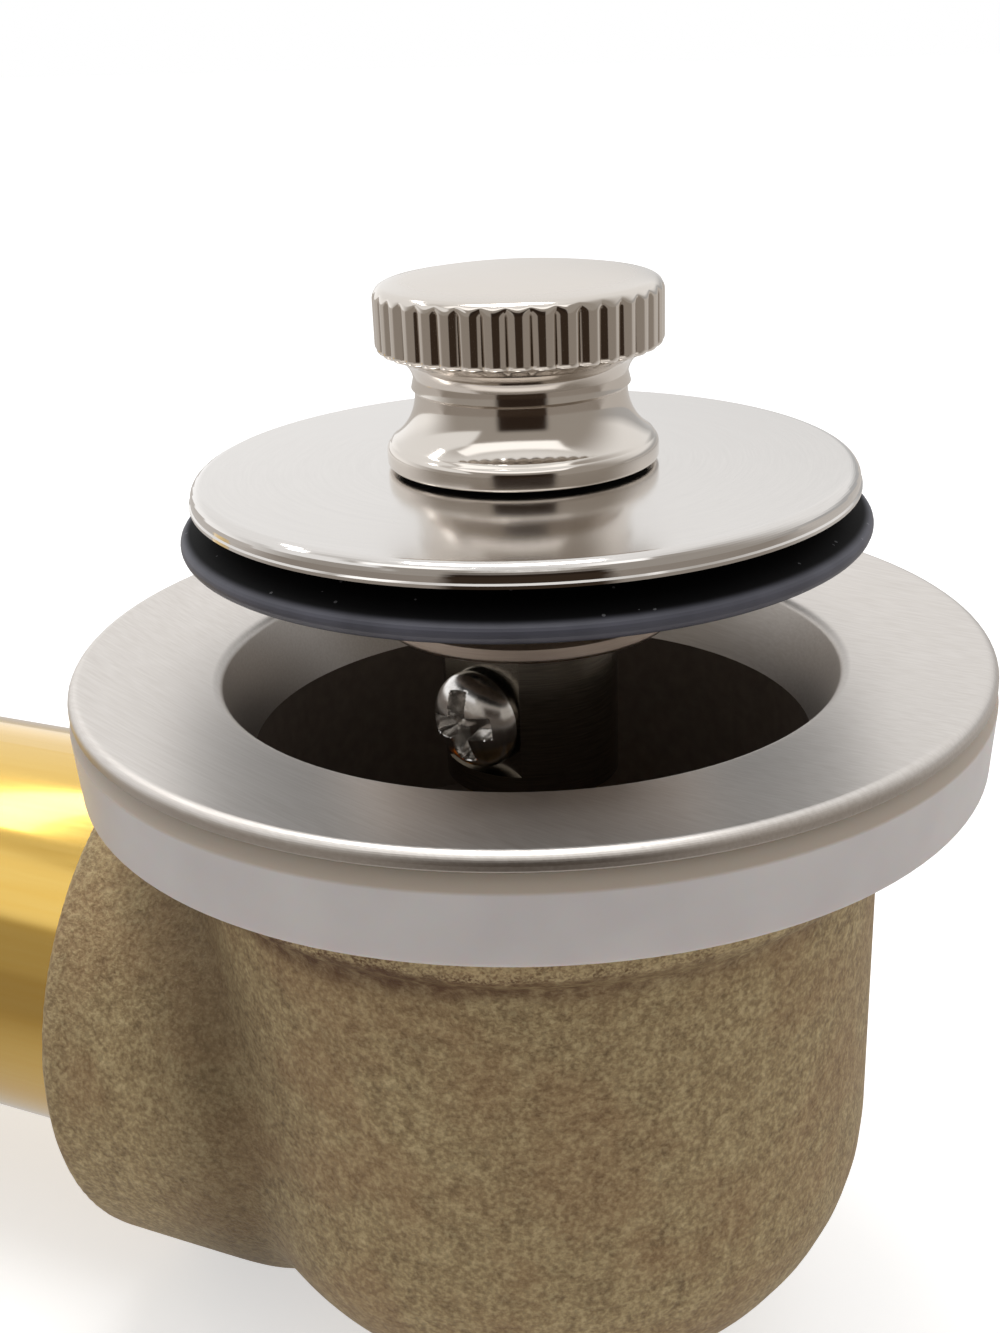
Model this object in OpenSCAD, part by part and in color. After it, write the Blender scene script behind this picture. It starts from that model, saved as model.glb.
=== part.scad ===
// Rotary bath drain: a strainer flange screwed into a cast shoe with a bevelled
// bath washer between them, and a stopper that a fluted knob turns down a cam post.
// Z = 0 is the underside of the flange rim, where it seats; the waste tube runs to -X.

/* [Flange and throat] */
// Outer radius of the strainer flange
flange_r = 36.5; // [33:0.5:40]
// Height of the flange rim above its seat
rim_h = 1.3; // [1:0.1:2.6]
// Radius on the upper edge of the rim
rim_round = 0.8; // [0.3:0.1:1.2]
// How far the dished face drops from the rim to the opening
dish_drop = 1.5; // [1:0.1:3]
// Outer radius of the threaded barrel
barrel_r = 24.4; // [22:0.1:26]
// Wall of the barrel at the throat
barrel_wall = 1.6; // [1.2:0.1:2.4]
// How much the opening is wider than the throat, on the radius
throat_flare = 2; // [1.5:0.1:2.6]
// Radius on the edge of the opening
opening_round = 1; // [0.4:0.1:1.4]
// Depth at which the tapered throat becomes straight
throat_taper = 6.8; // [5.5:0.1:9]
// Width of the flat ring under the rim
seat_w = 2.5; // [1.5:0.1:4]
// Height of the cone under the flange
seat_cone = 5.6; // [4.5:0.1:6.2]

/* [Strainer cross] */
// Wall of the boss round the post
boss_wall = 1.9; // [1:0.1:4]
// Height of the boss
boss_h = 4.8; // [3.5:0.1:8]
// Width of each arm of the cross
arm_w = 3.6; // [2:0.1:6]
// Number of arms
arm_count = 4; // [3:1:6]
// How far the arms lie below the top of the boss
arm_drop = 0.8; // [0.4:0.1:2]

/* [Bath washer] */
// How far the washer stands out past the flange
washer_out = 0.1; // [0:0.1:1]
// How much the washer narrows towards its foot, on the radius
washer_taper = 0.3; // [0.1:0.05:2]
// Height of the washer
washer_h = 6.9; // [6.3:0.1:12]
// Height of the bevel at the top edge
washer_bevel = 1.35; // [0.5:0.05:2.5]
// Width of the bevel
washer_bevel_w = 0.7; // [0.2:0.1:1.2]
// Gap between the washer and the barrel
washer_gap = 0.2; // [0.1:0.1:0.5]

/* [Shoe] */
// Gap between the barrel and the chamber of the shoe
chamber_gap = 0.5; // [0.3:0.1:1]
// Wall of the shoe body
shoe_wall = 3.4; // [2:0.1:5]
// How far the bead round the inlet stands out
bead_out = 2.7; // [1.5:0.1:3.5]
// Height of the bead
bead_h = 5.2; // [3:0.1:8]
// Depth of the female thread
thread_len = 10; // [8:0.5:14]
// Wall of the outlet collar round the tube
collar_wall = 6.95; // [4:0.05:8]
// Depth of the outlet collar below the washer
collar_gap = 3; // [1:0.1:10]
// How far the outlet's mouth stands out past the body
collar_out = 6.8; // [5:0.1:20]
// Metal under the chamber of the shoe
floor_wall = 5.4; // [3:0.1:8]
// How far the chamber's floor lies below the tube's bore
sump = 1.3; // [0.5:0.1:4]
// Radius between the chamber's side and its floor
floor_round = 16.6; // [10:0.2:20]

/* [Waste tube] */
// Outer radius of the waste tube
tube_r = 19.05; // [17:0.05:20.5]
// Wall of the waste tube
tube_wall = 1.37; // [1:0.01:2]
// Distance from the drain axis to the tube's free end
tube_reach = 140; // [80:1:300]
// Metal between the chamber and the tube's brazed end
tube_stop = 2.1; // [1:0.1:4]
// How much the brazed end is turned down, on the radius
tube_sizing = 0.4; // [0.3:0.05:0.6]
// Length of the turned end that stays outside the collar
tube_relief = 0.5; // [0.3:0.1:1]

/* [Post and cam] */
// Radius of the post
post_r = 4.6; // [4.2:0.1:5]
// Radius of the post's threaded shank
shank_r = 3; // [2:0.1:3.6]
// Turn from open to closed, in degrees
cam_turn = 120; // [60:5:150]
// Travel of the stopper from open to closed
lift = 10.5; // [6:0.1:12]
// Metal left under the cam groove, as a radius
cam_core = 2.9; // [2:0.1:3.2]
// Number of cutter positions along the groove
cam_steps = 16; // [12:1:30]
// Metal of the post nut outside its thread, at the flats
nut_wall = 2; // [1:0.1:3]
// Height of the post nut
nut_h = 3.2; // [2:0.1:5]
// How far the lock washer reaches past the shank
lock_w = 2.4; // [1.5:0.1:3.4]
// Thickness of the lock washer
lock_t = 0.8; // [0.4:0.1:1.5]
// Length of shank below the nut
shank_tail = 1.2; // [0.6:0.1:3]

/* [Stopper] */
// How far the seal's lip reaches past the opening
seal_over = 1.9; // [1:0.1:3]
// How far the seal's lip reaches past the plate
seal_out = 0.95; // [0.2:0.05:2]
// Thickness of the stopper plate
plate_t = 1.7; // [1.5:0.1:3]
// Radius on the upper edge of the plate
plate_round = 0.95; // [0.3:0.05:1.1]
// Height of the seal's lip
lip_h = 1.5; // [1:0.1:2]
// Height from the bottom of the lip to the plate
seal_rise = 3.45; // [3:0.05:5]
// Thickness of the seal where it is clamped
seal_hub = 4.2; // [3.8:0.1:5]
// Width of the retainer's lower rim beyond the sleeve
retainer_w = 4.8; // [4:0.1:7]
// How much the retainer widens towards its top
retainer_flare = 2.8; // [1:0.1:5]
// Height of the retainer
retainer_h = 6.5; // [5:0.1:8]
// Wall of the sleeve
sleeve_wall = 2.45; // [2:0.05:3.2]
// Radius of the spigot that centres the plate
spigot_r = 4.5; // [4:0.1:5.5]
// Radius of the knob's stud
stud_r = 2.5; // [2:0.1:3]
// Metal between the sleeve's bore and the stud
stud_floor = 1; // [0.6:0.1:1.5]

/* [Knob] */
// Radius of the knob over its flutes
knob_r = 10.9; // [9.8:0.05:14]
// Depth of the flutes
flute_depth = 0.6; // [0.4:0.05:0.8]
// Radius of each rounded crest
crest_r = 1.1; // [0.95:0.05:1.3]
// Number of flutes
flute_count = 38; // [34:1:42]
// Radius of the knob's neck
neck_r = 8.15; // [6.5:0.05:8.8]
// Height of the small step round the top of the neck
neck_step = 0.25; // [0.1:0.05:0.5]
// How far the foot stands out past the neck
foot_out = 2.35; // [2:0.05:3]
// Height of the foot bead
foot_h = 1.9; // [1.4:0.1:2.4]
// Height of the cove below the neck
cove_h = 3.6; // [2.5:0.1:4]
// Straight length of the neck
neck_h = 0.1; // [0.1:0.1:3]
// Height from the neck's step to the fluted band
flare_h = 2.8; // [2.5:0.1:5]
// Height of the fluted band's straight side
band_h = 4.1; // [2.5:0.1:6]
// Radius on the band's lower edge
band_foot = 0.35; // [0.2:0.05:0.5]
// Radius on the band's upper edge
band_round = 1; // [0.6:0.05:1.2]
// Height of the dome above the band's straight side
dome_h = 1.95; // [1.6:0.05:3]
// Thickness of the washer under the knob
knob_gasket = 0.25; // [0.2:0.05:1]

/* [Guide screw] */
// Direction of the guide screw, in degrees from +X
screw_az = -106; // [-180:1:180]
// Height of the screw's axis below the retainer
screw_drop = 7.1; // [6:0.1:8.5]
// Radius of the screw's thread
screw_r = 1.75; // [1.5:0.05:2]
// How far the screw's head reaches past its thread
head_out = 2.05; // [1.5:0.05:2.6]
// Height of the screw's head
head_h = 2.2; // [1.8:0.1:3]
// Depth of the flat on the sleeve under the screw's head
flat_depth = 1.1; // [0.4:0.1:1.2]
// Radius of the plain tip in the cam groove
tip_r = 1.3; // [1:0.05:1.45]
// Length of the sleeve below the screw's axis
sleeve_tail = 6.8; // [6.5:0.1:10]

/* [Clearances] */
// Gap left between the seal and the flange when closed
closed_gap = 0.3; // [0.2:0.05:1]
// Radial gap of the sleeve on the post
run_gap = 0.05; // [0.02:0.01:0.1]
// Radial gap of threads, spigots and brazed ends
thread_gap = 0.05; // [0.02:0.01:0.2]
// Gap between the tip and the cam groove
cam_gap = 0.3; // [0.2:0.05:0.5]
// Gap at the end of the sleeve's travel
end_gap = 0.6; // [0.3:0.1:2]

/* [Hidden] */
$fn = 96;
eps = 0.01;
// Steps along each rounded corner of a profile
arc_steps = 10;
// The throat, the opening and the shoe's walls follow the barrel
throat_r = barrel_r - barrel_wall;
opening_r = throat_r + throat_flare;
cavity_r = barrel_r + chamber_gap;
body_r = cavity_r + shoe_wall;
bead_r = body_r + bead_out;
seat_r = flange_r - seat_w;
washer_r = flange_r + washer_out;
// Heights of the dished face: the opening's edge and where the dish meets the rim
open_z = rim_h - dish_drop;
dish_r = flange_r - rim_round;
// Height of the dished face at a radius
function dish(r) = open_z + (r - opening_r) * dish_drop / (dish_r - opening_r);
// The outlet's collar lies below the washer and follows the tube
shoe_z = -washer_h;
tube_bore = tube_r - tube_wall;
outlet_r = tube_r + collar_wall;
outlet_drop = washer_h + collar_gap + outlet_r;
outlet_reach = body_r + collar_out;
tube_end = cavity_r + tube_stop;
turned_r = tube_r - tube_sizing;
inner_floor = -outlet_drop - tube_bore - sump;
floor_z = inner_floor - floor_wall;
// The open stopper stands its lift above the place where the seal meets the dish
seal_r = opening_r + seal_over;
plate_r = seal_r - seal_out;
lip_z = dish(seal_r) + closed_gap + lift;
plate_z = lip_z + seal_rise;
plate_top = plate_z + plate_t;
knob_z = plate_top + knob_gasket;
bore_r = post_r + run_gap;
sleeve_r = bore_r + sleeve_wall;
sleeve_fit_r = sleeve_r + thread_gap;
retainer_rim_r = sleeve_r + retainer_w;
retainer_r = retainer_rim_r + retainer_flare;
retainer_top = plate_z - seal_hub;
retainer_z = retainer_top - retainer_h;
screw_z = retainer_z - screw_drop;
sleeve_z = screw_z - sleeve_tail;
// The glide ring's wire and its groove near the open end of the sleeve
ring_wire = 0.6;
ring_z = sleeve_z + 2.2;
ring_r = post_r + ring_wire + 2 * run_gap;
// The post stands in the boss, which clears the closed sleeve
boss_r = post_r + boss_wall;
boss_top = sleeve_z - lift - end_gap;
boss_z = boss_top - boss_h;
post_top = screw_z + tip_r + cam_gap + 0.7;
bore_top = post_top + lift + end_gap;
stud_z = bore_top + stud_floor;
shank_fit_r = shank_r + thread_gap;
nut_z = boss_z - lock_t - nut_h;
head_r = screw_r + head_out;
// The screw's tip stops short of the groove's floor, and its head sits on the flat
tip_end = cam_core + cam_gap;
flat_x = sleeve_r - flat_depth;
// Heights on the knob, above its foot
step_z = foot_h + cove_h + neck_h;
band_z = step_z + neck_step + flare_h;
edge_z = band_z + band_h;
core_r = knob_r - flute_depth;
foot_r = neck_r + foot_out;
stud_top = knob_z + band_z;

// Points on an arc round (x, y) from angle a to angle b
function arc(x, y, r, a, b) = [for (i = [0:arc_steps])
    let (t = a + (b - a) * i / arc_steps) [x + r * cos(t), y + r * sin(t)]];

module ring_of(inner, outer, low, high) {
    translate([0, 0, low]) difference() {
        cylinder(r = outer, h = high - low);
        translate([0, 0, -eps]) cylinder(r = inner, h = high - low + 2 * eps);
    }
}

// Underside of the flange, shared with the washer that seats on it
seat_step_r = barrel_r + 0.8;
seat_step_z = -seat_cone + 0.5;
seat_line = [[barrel_r, -seat_cone], [seat_step_r, seat_step_z], [seat_r, 0]];

module flange_profile() {
    slope = atan2(dish_drop, dish_r - opening_r);
    wall_tilt = atan2(throat_flare, throat_taper + open_z);
    thread_lead = 0.6;
    edge_round = 0.2;
    polygon(concat(
        arc(flange_r - edge_round, edge_round, edge_round, -90, 0),
        arc(dish_r, rim_h - rim_round, rim_round, 0, 90 + slope),
        arc(opening_r + opening_round * 0.85, open_z - opening_round * 0.8, opening_round,
            90 + slope, 180 - wall_tilt),
        [[throat_r, -throat_taper], [throat_r, boss_z], [barrel_r - thread_lead, boss_z],
            [barrel_r, boss_z + thread_lead]],
        seat_line));
}

module strainer_body() {
    color([0.80, 0.78, 0.75]) difference() {
        union() {
            rotate_extrude() flange_profile();
            translate([0, 0, boss_z]) cylinder(r = boss_r, h = boss_h);
            for (i = [0:arm_count - 1])
                rotate(i * 360 / arm_count + 45)
                    translate([boss_r / 2, -arm_w / 2, boss_z])
                        cube([throat_r + barrel_wall / 2 - boss_r / 2, arm_w, boss_h - arm_drop]);
        }
        translate([0, 0, boss_z - 1]) cylinder(r = shank_fit_r, h = boss_h + 2);
    }
}

module bath_washer() {
    foot_round = 0.5;
    edge_round = 0.35;
    top_gap = 0.15;
    inner = barrel_r + washer_gap;
    foot_r = washer_r - washer_taper;
    bevel_r = washer_r - washer_bevel_w;
    side_tilt = atan2(washer_taper, washer_h - washer_bevel);
    bevel_tilt = atan2(washer_bevel_w, washer_bevel - top_gap);
    color([0.72, 0.71, 0.72]) rotate_extrude() polygon(concat(
        [[inner, shoe_z]],
        arc(foot_r - foot_round, shoe_z + foot_round, foot_round, -90, -side_tilt),
        arc(washer_r - edge_round, -washer_bevel - edge_round * tan(bevel_tilt / 2), edge_round,
            -side_tilt, bevel_tilt),
        [[bevel_r, -top_gap], [bevel_r - 2 * top_gap, 0], [seat_r, 0],
            [seat_step_r, seat_step_z],
            [inner, -seat_cone + washer_gap * (seat_cone + seat_step_z) / (seat_step_r - barrel_r)]]));
}

// Outside of the shoe's vertical body: bead, cove, drum and rounded floor
module shoe_drum() {
    bead_z = shoe_z - bead_h;
    bead_round = 0.9;
    top_round = 0.5;
    outer_round = floor_round + shoe_wall;
    rotate_extrude() polygon(concat(
        [[0, floor_z]],
        arc(body_r - outer_round, floor_z + outer_round, outer_round, -90, 0),
        [[body_r, bead_z - bead_out / 2]],
        arc(bead_r - bead_round, bead_z + bead_round, bead_round, -70, 0),
        arc(bead_r - top_round, shoe_z - top_round, top_round, 0, 90),
        [[0, shoe_z]]));
}

// Outside of the outlet: a collar with a rounded mouth that narrows into the body
module shoe_outlet() {
    mouth = 1.4;
    waist_r = outlet_r - 2.5;
    nose_r = tube_bore;
    rotate([0, -90, 0]) rotate_extrude() polygon(concat(
        [[0, -body_r / 3], [nose_r, -body_r / 4], [waist_r, body_r / 3], [outlet_r, body_r * 2 / 3]],
        arc(outlet_r - mouth, outlet_reach - mouth, mouth, 0, 90),
        [[0, outlet_reach]]));
}

// Inside of the shoe: female thread, sump and the stepped bore of the outlet
module shoe_inside() {
    thread_r = barrel_r + thread_gap;
    rotate_extrude() polygon(concat(
        [[0, inner_floor]],
        arc(cavity_r - floor_round, inner_floor + floor_round, floor_round, -90, 0),
        [[cavity_r, shoe_z - thread_len - 1], [thread_r, shoe_z - thread_len],
            [thread_r, shoe_z + 1], [0, shoe_z + 1]]));
    translate([0, 0, -outlet_drop]) rotate([0, -90, 0]) {
        cylinder(r = tube_bore, h = outlet_reach + 1);
        translate([0, 0, tube_end]) cylinder(r = turned_r + thread_gap, h = outlet_reach);
    }
}

module shoe() {
    color([0.45, 0.39, 0.28]) difference() {
        union() {
            shoe_drum();
            translate([0, 0, -outlet_drop]) shoe_outlet();
        }
        shoe_inside();
    }
}

module waste_tube() {
    color([0.85, 0.68, 0.30])
        translate([0, 0, -outlet_drop]) rotate([0, -90, 0]) {
            ring_of(tube_bore, tube_r, outlet_reach + tube_relief, tube_reach);
            ring_of(tube_bore, turned_r, tube_end, outlet_reach + 2 * tube_relief);
        }
}

// Cam groove: overlapping cutter positions down a helix, seen from the closed end
module cam_groove() {
    for (i = [0:cam_steps])
        rotate(screw_az - cam_turn * i / cam_steps)
            translate([cam_core, 0, screw_z - lift * i / cam_steps])
                rotate([0, 90, 0]) cylinder(r = tip_r + cam_gap, h = post_r, $fn = 48);
}

module post() {
    chamfer = 0.5;
    tail_z = nut_z - shank_tail;
    color([0.80, 0.66, 0.36]) difference() {
        rotate_extrude() polygon([[0, tail_z], [shank_r - chamfer, tail_z],
            [shank_r, tail_z + chamfer], [shank_r, boss_top], [post_r, boss_top],
            [post_r, post_top - chamfer], [post_r - chamfer, post_top], [0, post_top]]);
        cam_groove();
    }
}

module lock_washer() {
    color([0.62, 0.62, 0.64])
        ring_of(shank_fit_r, shank_r + lock_w, boss_z - lock_t, boss_z);
}

module post_nut() {
    across_corners = (shank_r + nut_wall) / cos(30);
    color([0.80, 0.66, 0.36]) translate([0, 0, nut_z]) difference() {
        cylinder(r = across_corners, h = nut_h, $fn = 6);
        translate([0, 0, -1]) cylinder(r = shank_fit_r, h = nut_h + 2);
    }
}

module glide_ring() {
    color([0.08, 0.08, 0.08])
        translate([0, 0, ring_z]) rotate_extrude() translate([ring_r, 0]) circle(r = ring_wire, $fn = 32);
}

module sleeve() {
    lead = 0.4;
    flat_below = head_r + 0.6;
    color([0.60, 0.57, 0.52]) difference() {
        union() {
            rotate_extrude() polygon([[0, sleeve_z], [sleeve_r - lead, sleeve_z],
                [sleeve_r, sleeve_z + lead], [sleeve_r, plate_z], [0, plate_z]]);
            cylinder(r = spigot_r, h = plate_top - 0.1);
        }
        translate([0, 0, sleeve_z - 1]) cylinder(r = bore_r, h = bore_top - sleeve_z + 1);
        translate([0, 0, stud_z]) cylinder(r = stud_r + thread_gap, h = plate_top);
        translate([0, 0, ring_z - ring_wire - run_gap])
            cylinder(r = ring_r + ring_wire + run_gap, h = 2 * (ring_wire + run_gap));
        rotate(screw_az) {
            translate([0, 0, screw_z]) rotate([0, 90, 0])
                cylinder(r = screw_r + thread_gap, h = sleeve_r + 1);
            translate([flat_x, -sleeve_r, screw_z - flat_below])
                cube([sleeve_r, 2 * sleeve_r, retainer_z + 1 - screw_z + flat_below]);
        }
    }
}

// Conical cup, hollow below, with a thin rolled rim
module seal_retainer() {
    rim_wall = 1;
    rim_edge = 0.4;
    cup_h = 2.4;
    color([0.74, 0.71, 0.66]) rotate_extrude() polygon(concat(
        [[sleeve_fit_r, retainer_z + cup_h], [sleeve_fit_r + 1.4, retainer_z + cup_h],
            [retainer_rim_r - 1.6 * rim_wall, retainer_z + rim_wall],
            [retainer_rim_r - rim_wall, retainer_z]],
        arc(retainer_rim_r - rim_edge, retainer_z + rim_edge, rim_edge, -90, 0),
        [[retainer_rim_r, retainer_z + 1.2 * rim_wall], [retainer_r - 0.3, retainer_top - 0.8],
            [retainer_r, retainer_top - 0.5], [retainer_r, retainer_top],
            [sleeve_fit_r, retainer_top]]));
}

// Rubber saucer: a clamped hub, a thinning web and a rounded lip
module stopper_seal() {
    lip = lip_h / 2;
    web_r = seal_r - 6;
    shoulder_r = seal_r - 4.6;
    color([0.06, 0.06, 0.07]) rotate_extrude() polygon(concat(
        [[sleeve_fit_r, retainer_top], [web_r, retainer_top], [seal_r - 2.5, lip_z - 0.2]],
        arc(seal_r - lip, lip_z + lip, lip, -100, 75),
        [[seal_r - 3.2, plate_z - 0.9], [shoulder_r, plate_z], [sleeve_fit_r, plate_z]]));
}

// Flat cover with a rounded upper edge and a fine step round its lower edge
module stopper_plate() {
    step_w = 0.12;
    step_h = 0.35;
    side_r = plate_r - step_w;
    color([0.84, 0.82, 0.79]) difference() {
        rotate_extrude() polygon(concat(
            [[0, plate_z], [plate_r - step_h, plate_z], [plate_r, plate_z + step_w],
                [plate_r, plate_z + step_h], [side_r, plate_z + step_h + step_w]],
            arc(side_r - plate_round, plate_top - plate_round, plate_round, 0, 90),
            [[0, plate_top]]));
        translate([0, 0, plate_z - 1]) cylinder(r = spigot_r + thread_gap, h = plate_t + 2);
    }
}

module knob_gasket_ring() {
    inset = 0.9;
    color([0.10, 0.10, 0.10])
        ring_of(stud_r + thread_gap, foot_r - inset, plate_top, knob_z);
}

// Half outline of the knob below its band: foot, cove, neck, step and flare
module knob_stem() {
    foot_edge = 0.35;
    foot_round = 0.8;
    cove_w = foot_out - 0.4;
    cove_r = (pow(cove_h, 2) + pow(cove_w, 2)) / (2 * cove_w);
    cove_end = asin(cove_h / cove_r);
    flare = core_r - neck_r;
    polygon(concat(
        [[0, 0]],
        arc(foot_r - foot_edge, foot_edge, foot_edge, -90, 0),
        arc(foot_r - foot_round, foot_h - foot_round, foot_round, 0, 55),
        arc(neck_r + cove_r, foot_h + cove_h, cove_r, cove_end - 180, -180),
        [[neck_r, step_z], [neck_r + neck_step, step_z + neck_step]],
        arc(neck_r + flare, step_z + flare_h / 4, flare, 172, 114),
        [[core_r, band_z], [core_r, band_z + 1], [0, band_z + 1]]));
}

// Half outline of the band and dome, a little wider than the crests that it trims
module knob_head() {
    wide = knob_r + 0.05;
    slope = 79;
    rim = [wide - band_round + band_round * cos(slope), edge_z + band_round * sin(slope)];
    crown = dome_h - band_round * sin(slope);
    translate([0, band_z]) square([wide - band_foot, band_h]);
    translate([0, band_z + band_foot]) square([wide, band_h - band_foot]);
    translate([wide - band_foot, band_z + band_foot]) circle(r = band_foot, $fn = 32);
    intersection() {
        translate([wide - band_round, edge_z]) circle(r = band_round, $fn = 64);
        translate([0, edge_z - eps]) square([wide, rim[1] - edge_z + eps]);
    }
    polygon(concat([[0, edge_z]], [[wide - band_round, edge_z]],
        [for (i = [0:arc_steps]) let (t = i / arc_steps)
            [rim[0] * (1 - t), rim[1] + crown * (1 - pow(1 - t, 2))]]));
}

// Plan of the band: a round core with a rounded crest for each flute
module flute_plan() {
    circle(r = core_r);
    for (i = [0:flute_count - 1])
        rotate(i * 360 / flute_count)
            translate([knob_r - crest_r, 0]) circle(r = crest_r, $fn = 32);
}

module knob() {
    color([0.82, 0.80, 0.77]) translate([0, 0, knob_z]) difference() {
        union() {
            rotate_extrude() knob_stem();
            intersection() {
                rotate_extrude() knob_head();
                translate([0, 0, band_z - 1]) linear_extrude(band_h + dome_h + 2) flute_plan();
            }
        }
        translate([0, 0, -1]) cylinder(r = stud_r + thread_gap, h = band_z + 1);
    }
}

module knob_stud() {
    color([0.62, 0.62, 0.64])
        translate([0, 0, stud_z]) cylinder(r = stud_r, h = stud_top - stud_z);
}

// Pan head with a cross recess, shank through the sleeve and a plain tip
module guide_screw() {
    recess = head_r * 0.55;
    slot = head_r * 0.3;
    slot_depth = head_h * 0.55;
    dome = head_h * 0.68;
    color([0.75, 0.74, 0.72]) rotate(screw_az) translate([0, 0, screw_z]) rotate([0, 90, 0])
        difference() {
            rotate_extrude() polygon(concat(
                [[0, tip_end], [tip_r - 0.2, tip_end], [tip_r, tip_end + 0.2],
                    [tip_r, bore_r + 0.2], [screw_r, bore_r + 0.5], [screw_r, flat_x],
                    [head_r - 0.2, flat_x], [head_r, flat_x + 0.3]],
                arc(head_r - dome, flat_x + head_h - dome, dome, 15, 85),
                [[0, flat_x + head_h]]));
            for (a = [20, 110])
                rotate(a) translate([-recess, -slot / 2, flat_x + head_h - slot_depth])
                    cube([2 * recess, slot, head_h]);
        }
}

shoe();
waste_tube();
bath_washer();
strainer_body();
post();
lock_washer();
post_nut();
glide_ring();
sleeve();
seal_retainer();
stopper_seal();
stopper_plate();
knob_gasket_ring();
knob();
knob_stud();
guide_screw();
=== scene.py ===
"""Looks of a rotary bath drain: brushed and polished nickel, cast and polished brass,
a milky plastic washer and a black rubber seal, lit on a white table.

Lengths are in millimetres where a name ends in _mm, and in metres elsewhere. Z = 0 is the
underside of the flange rim, Z runs up the drain's axis and the waste tube leaves along -X.
"""

import math

import bmesh
import bpy
import numpy as np
from mathutils import Matrix, Vector


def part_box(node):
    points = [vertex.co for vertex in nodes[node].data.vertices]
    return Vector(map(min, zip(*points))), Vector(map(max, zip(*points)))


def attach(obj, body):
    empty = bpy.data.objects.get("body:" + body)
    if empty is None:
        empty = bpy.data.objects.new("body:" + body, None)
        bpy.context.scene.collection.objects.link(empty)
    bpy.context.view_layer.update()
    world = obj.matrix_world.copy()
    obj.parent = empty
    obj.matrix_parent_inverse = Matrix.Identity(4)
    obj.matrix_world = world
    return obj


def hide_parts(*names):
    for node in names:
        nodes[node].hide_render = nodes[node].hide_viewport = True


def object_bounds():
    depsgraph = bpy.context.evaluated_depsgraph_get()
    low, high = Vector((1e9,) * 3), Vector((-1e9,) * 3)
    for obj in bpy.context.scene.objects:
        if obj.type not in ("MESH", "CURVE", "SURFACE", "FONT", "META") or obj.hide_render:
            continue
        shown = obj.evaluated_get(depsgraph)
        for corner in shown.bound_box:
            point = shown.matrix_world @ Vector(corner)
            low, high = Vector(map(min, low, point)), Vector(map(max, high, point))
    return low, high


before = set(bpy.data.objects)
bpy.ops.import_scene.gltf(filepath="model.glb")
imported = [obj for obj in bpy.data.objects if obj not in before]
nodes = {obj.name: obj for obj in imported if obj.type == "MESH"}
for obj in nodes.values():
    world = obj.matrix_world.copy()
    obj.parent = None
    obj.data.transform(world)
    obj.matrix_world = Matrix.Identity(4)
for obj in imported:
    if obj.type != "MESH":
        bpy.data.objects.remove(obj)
cad_low, cad_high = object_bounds()
MM = 0.001


# Colours and shader nodes


def linear(hex_colour):
    """Linear RGBA of an sRGB hex colour: each channel c becomes ((c + 0.055) / 1.055) ^ 2.4,
    or c / 12.92 where it is dark."""
    channels = [int(hex_colour[i:i + 2], 16) / 255 for i in (0, 2, 4)]
    straight = [c / 12.92 if c <= 0.04045 else ((c + 0.055) / 1.055) ** 2.4 for c in channels]
    return (*straight, 1.0)


def add(tree, kind, inputs=None, stops=(), **settings):
    """Adds a shader node: sets its properties, fills its live inputs, by name or number, with
    values or links, and gives a colour ramp its stops. Returns its first live output."""
    node = tree.nodes.new("ShaderNode" + kind)
    for name, value in settings.items():
        setattr(node, name, value)
    for key, value in (inputs or {}).items():
        named = [socket for socket in node.inputs if socket.enabled and socket.name == key]
        socket = node.inputs[key] if isinstance(key, int) else named[0]
        if isinstance(value, bpy.types.NodeSocket):
            tree.links.new(value, socket)
        else:
            socket.default_value = value
    for i, (position, hex_colour) in enumerate(stops):
        elements = node.color_ramp.elements
        element = elements[i] if i < len(elements) else elements.new(1.0)
        element.position, element.color = position, linear(hex_colour)
    live = [socket for socket in node.outputs if socket.enabled]
    return live[0] if live else None


def new_material(name):
    """A material with only a Principled surface: its tree, its shader and object coordinates."""
    material = bpy.data.materials.new(name)
    material.use_nodes = True
    tree = material.node_tree
    tree.nodes.clear()
    surface = add(tree, "BsdfPrincipled")
    add(tree, "OutputMaterial", {"Surface": surface})
    place = add(tree, "TexCoord").node.outputs["Object"]
    return material, tree, surface.node, place


def finish(tree, shader, **inputs):
    """Links or sets inputs of a shader, given with underscores for spaces."""
    for name, value in inputs.items():
        socket = shader.inputs[name.replace("_", " ")]
        if isinstance(value, bpy.types.NodeSocket):
            tree.links.new(value, socket)
        else:
            socket.default_value = value


def axis_place(tree, place):
    """Distance from the drain's axis, height, and the X and Y coordinates, in metres."""
    split = add(tree, "SeparateXYZ", {"Vector": place}).node
    x, y, z = split.outputs
    flat = add(tree, "CombineXYZ", {"X": x, "Y": y})
    return add(tree, "VectorMath", {0: flat}, operation="LENGTH"), z, x, y


# How much a turned line's pattern changes round the axis, as a share of how much it changes
# across the line
LINE_DRIFT = 0.04


def turned_lines(tree, place, pitch_mm):
    """Noise that is fine across the drain's radius and height and long round its axis, as the
    marks of a turning or polishing tool are: it is read at (radius, height) with a slow drift."""
    radius, height, x, y = axis_place(tree, place)
    slow = add(tree, "Math", {0: x, 1: LINE_DRIFT, 2: radius}, operation="MULTIPLY_ADD")
    slower = add(tree, "Math", {0: y, 1: LINE_DRIFT}, operation="MULTIPLY")
    across = add(tree, "CombineXYZ", {"X": slow, "Y": slower, "Z": height})
    return add(tree, "TexNoise", {"Vector": across, "Scale": 1 / (pitch_mm * MM), "Detail": 3.0})


# How far a speck reaches from its middle, as a share of the distance between specks
SPECK_REACH = 0.42


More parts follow.
